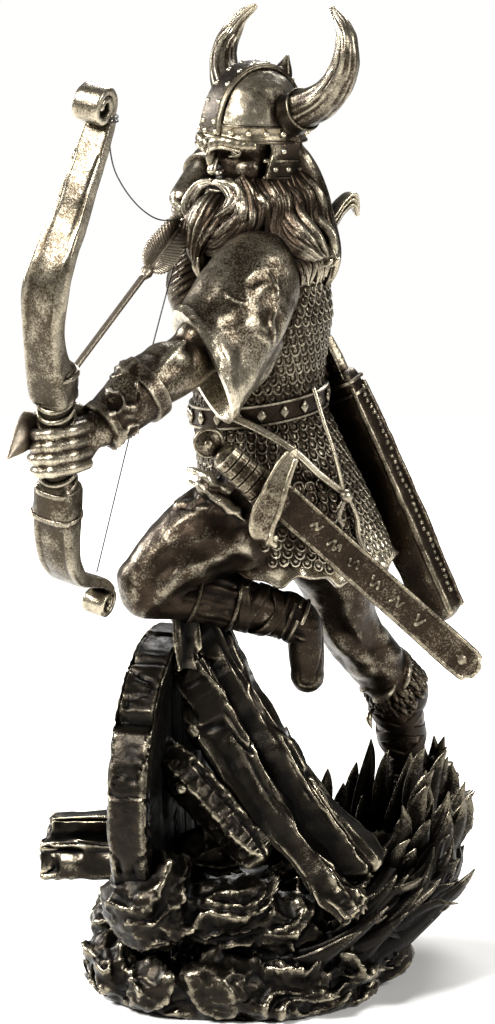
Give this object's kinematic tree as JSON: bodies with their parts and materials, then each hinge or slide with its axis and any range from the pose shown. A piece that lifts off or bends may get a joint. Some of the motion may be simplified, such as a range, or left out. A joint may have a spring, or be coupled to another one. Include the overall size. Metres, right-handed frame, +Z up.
{
  "type": "viking archer statuette",
  "caption": "Horned-helmet archer kneeling on a broken round shield over a rocky base, in bronze-finished resin, with bow, arrow, sword and quiver.",
  "frame": {"origin": "on the flat underside of the rocky base, near its middle", "axes": "+Z up through the figure, -X the way the archer aims, -Y towards the viewer"},
  "size_m": [0.1247, 0.1425, 0.2643],
  "materials": {
    "bronze": "antique bronze on cold-cast resin, dark in the recesses and rubbed bright on the edges",
    "dark_bronze": "antique bronze, darker and glossier",
    "bright_bronze": "antique bronze, rubbed bright",
    "arrow_bronze": "antique bronze, brown",
    "thread": "nylon thread"
  },
  "bodies": {
    "root": {"ground": "dark_bronze", "archer": "bronze", "bow": "bright_bronze", "arrow": "arrow_bronze", "bowstring": "thread", "sword": "dark_bronze", "quiver": "dark_bronze"}
  },
  "joints": []
}
